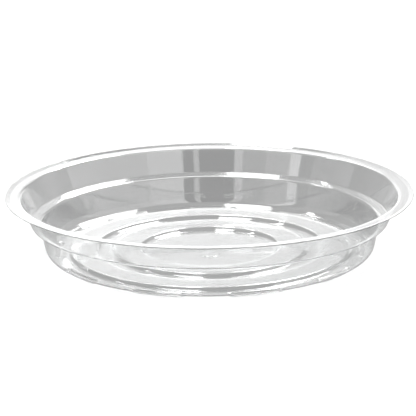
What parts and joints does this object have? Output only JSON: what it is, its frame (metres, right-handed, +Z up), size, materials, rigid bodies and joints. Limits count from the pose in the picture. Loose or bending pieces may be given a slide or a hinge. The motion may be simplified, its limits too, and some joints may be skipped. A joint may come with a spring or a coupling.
{
  "type": "plant saucer",
  "caption": "Round clear plastic saucer that stands under a plant pot: flanged rim, stepped wall, raised floor rings that hold the pot above the water, low pressed feet.",
  "frame": {"origin": "the dish's axis, on the surface that its feet stand on", "axes": "+Z up along the dish's axis, -Y towards the front, where the gap between two feet is centred, +X to the right"},
  "size_m": [0.254, 0.254, 0.039],
  "materials": {
    "clear_plastic": "clear, glossy, thermoformed sheet"
  },
  "bodies": {
    "root": {"saucer": "clear_plastic"}
  },
  "joints": []
}
